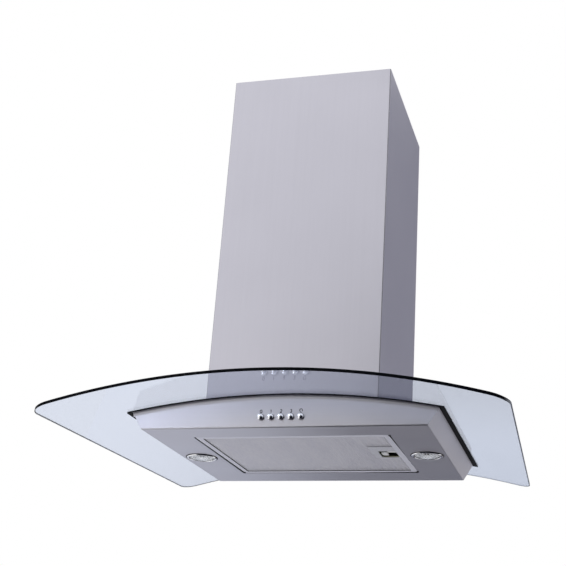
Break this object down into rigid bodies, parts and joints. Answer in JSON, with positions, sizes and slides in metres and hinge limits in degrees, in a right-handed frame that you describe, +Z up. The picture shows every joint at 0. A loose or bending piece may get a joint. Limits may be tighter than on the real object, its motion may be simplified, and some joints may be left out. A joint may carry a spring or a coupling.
{
  "type": "island range hood",
  "caption": "Ceiling-hung island range hood: stainless tray with lamps, push buttons and a grease filter under an arched glass canopy, with a telescopic square chimney.",
  "frame": {"origin": "middle of the ceiling plate's top face, where the hood meets the ceiling", "axes": "+Z up to the ceiling, +X along the wide glass to the right as seen from the buttons, -Y to the front"},
  "size_m": [0.901, 0.746, 0.8205],
  "materials": {
    "brushed_steel": "fine brushed stainless sheet",
    "upper_steel": "fine brushed stainless sheet",
    "zinc_steel": "galvanised sheet",
    "fasteners": "bright zinc plate",
    "tinted_glass": "clear toughened glass with a dark polished edge",
    "rubber": "soft black",
    "cast_aluminium": "pressed and die-cast, dull",
    "filter_aluminium": "anodised rim, expanded mesh",
    "passivated_steel": "olive zinc passivate",
    "black_plastic": "moulded",
    "chrome": "bright plate",
    "reflector": "faceted bright aluminium",
    "lamp_glass": "clear"
  },
  "bodies": {
    "ceiling_section": {"ceiling_plate": "zinc_steel", "upper_posts": "zinc_steel", "post_bolts": "fasteners", "upper_chimney_front": "upper_steel", "upper_chimney_rear": "upper_steel", "upper_chimney_screws": "fasteners"},
    "hood": {"lower_frame": "zinc_steel", "frame_bolts": "fasteners", "chimney_front": "brushed_steel", "chimney_shell": "brushed_steel", "chimney_screws": "fasteners", "glass_canopy": "tinted_glass", "glass_gasket": "rubber", "cut_out_gasket": "rubber", "glass_clamps": "zinc_steel", "clamp_bushes": "zinc_steel", "clamp_bolts": "fasteners", "tray_body": "brushed_steel", "deck_plate": "zinc_steel", "blower_box": "zinc_steel", "box_ends": "zinc_steel", "box_screws": "fasteners", "scroll_left": "cast_aluminium", "scroll_right": "cast_aluminium", "motor": "cast_aluminium", "motor_bracket": "zinc_steel", "motor_capacitor": "cast_aluminium", "duct_spigot": "cast_aluminium", "flap_spindle": "fasteners", "cable_gland": "black_plastic", "terminal_box": "black_plastic", "lamp_transformer": "black_plastic", "switch_block": "black_plastic", "lamp_bezel_left": "chrome", "lamp_bezel_right": "chrome", "lamp_lens_left": "lamp_glass", "lamp_lens_right": "lamp_glass", "lamp_reflector_left": "reflector", "lamp_reflector_right": "reflector", "lamp_bulb_left": "lamp_glass", "lamp_bulb_right": "lamp_glass", "lamp_can_left": "zinc_steel", "lamp_can_right": "zinc_steel"},
    "fan": {"impeller": "black_plastic", "motor_shaft": "fasteners"},
    "left_flap": {"flap_left": "black_plastic"},
    "right_flap": {"flap_right": "black_plastic"},
    "filter": {"filter_frame": "filter_aluminium", "filter_mesh_face": "filter_aluminium", "filter_mesh_core": "filter_aluminium", "filter_mesh_back": "filter_aluminium", "latch_plate": "brushed_steel", "latch_cup": "passivated_steel", "latch_spring": "fasteners"},
    "filter_latch": {"latch_slider": "brushed_steel"},
    "push_button_1": {"button_1": "chrome"},
    "push_button_2": {"button_2": "chrome"},
    "push_button_3": {"button_3": "chrome"},
    "push_button_4": {"button_4": "chrome"},
    "push_button_5": {"button_5": "chrome"}
  },
  "joints": [
    {"name": "hood_height", "type": "slide", "parent": "ceiling_section", "child": "hood", "axis": [0, 0, -1], "range_m": [0, 0.25]},
    {"name": "fan_spin", "type": "hinge", "parent": "hood", "child": "fan", "pos_m": [0, -0.052, -0.64], "axis": [1, 0, 0], "continuous": true},
    {"name": "left_flap_lift", "type": "hinge", "parent": "hood", "child": "left_flap", "pos_m": [0, 0, -0.505], "axis": [0, 1, 0], "range_deg": [0, 70]},
    {"name": "right_flap_lift", "type": "hinge", "parent": "hood", "child": "right_flap", "pos_m": [0, 0, -0.505], "axis": [0, -1, 0], "range_deg": [0, 70]},
    {"name": "filter_swing", "type": "hinge", "parent": "hood", "child": "filter", "pos_m": [-0.199, -0.008, -0.8168], "axis": [0, 1, 0], "range_deg": [0, 75]},
    {"name": "latch_slide", "type": "slide", "parent": "filter", "child": "filter_latch", "axis": [-1, 0, 0], "range_m": [0, 0.0036], "stiffness_N_per_m": 300, "springref_m": -0.004, "deforming": ["latch_spring"]},
    {"name": "button_1_press", "type": "slide", "parent": "hood", "child": "push_button_1", "axis": [0, 1, 0], "range_m": [0, 0.003], "stiffness_N_per_m": 600, "springref_m": -0.002},
    {"name": "button_2_press", "type": "slide", "parent": "hood", "child": "push_button_2", "axis": [0, 1, 0], "range_m": [0, 0.003], "stiffness_N_per_m": 600, "springref_m": -0.002},
    {"name": "button_3_press", "type": "slide", "parent": "hood", "child": "push_button_3", "axis": [0, 1, 0], "range_m": [0, 0.003], "stiffness_N_per_m": 600, "springref_m": -0.002},
    {"name": "button_4_press", "type": "slide", "parent": "hood", "child": "push_button_4", "axis": [0, 1, 0], "range_m": [0, 0.003], "stiffness_N_per_m": 600, "springref_m": -0.002},
    {"name": "button_5_press", "type": "slide", "parent": "hood", "child": "push_button_5", "axis": [0, 1, 0], "range_m": [0, 0.003], "stiffness_N_per_m": 600, "springref_m": -0.002}
  ]
}
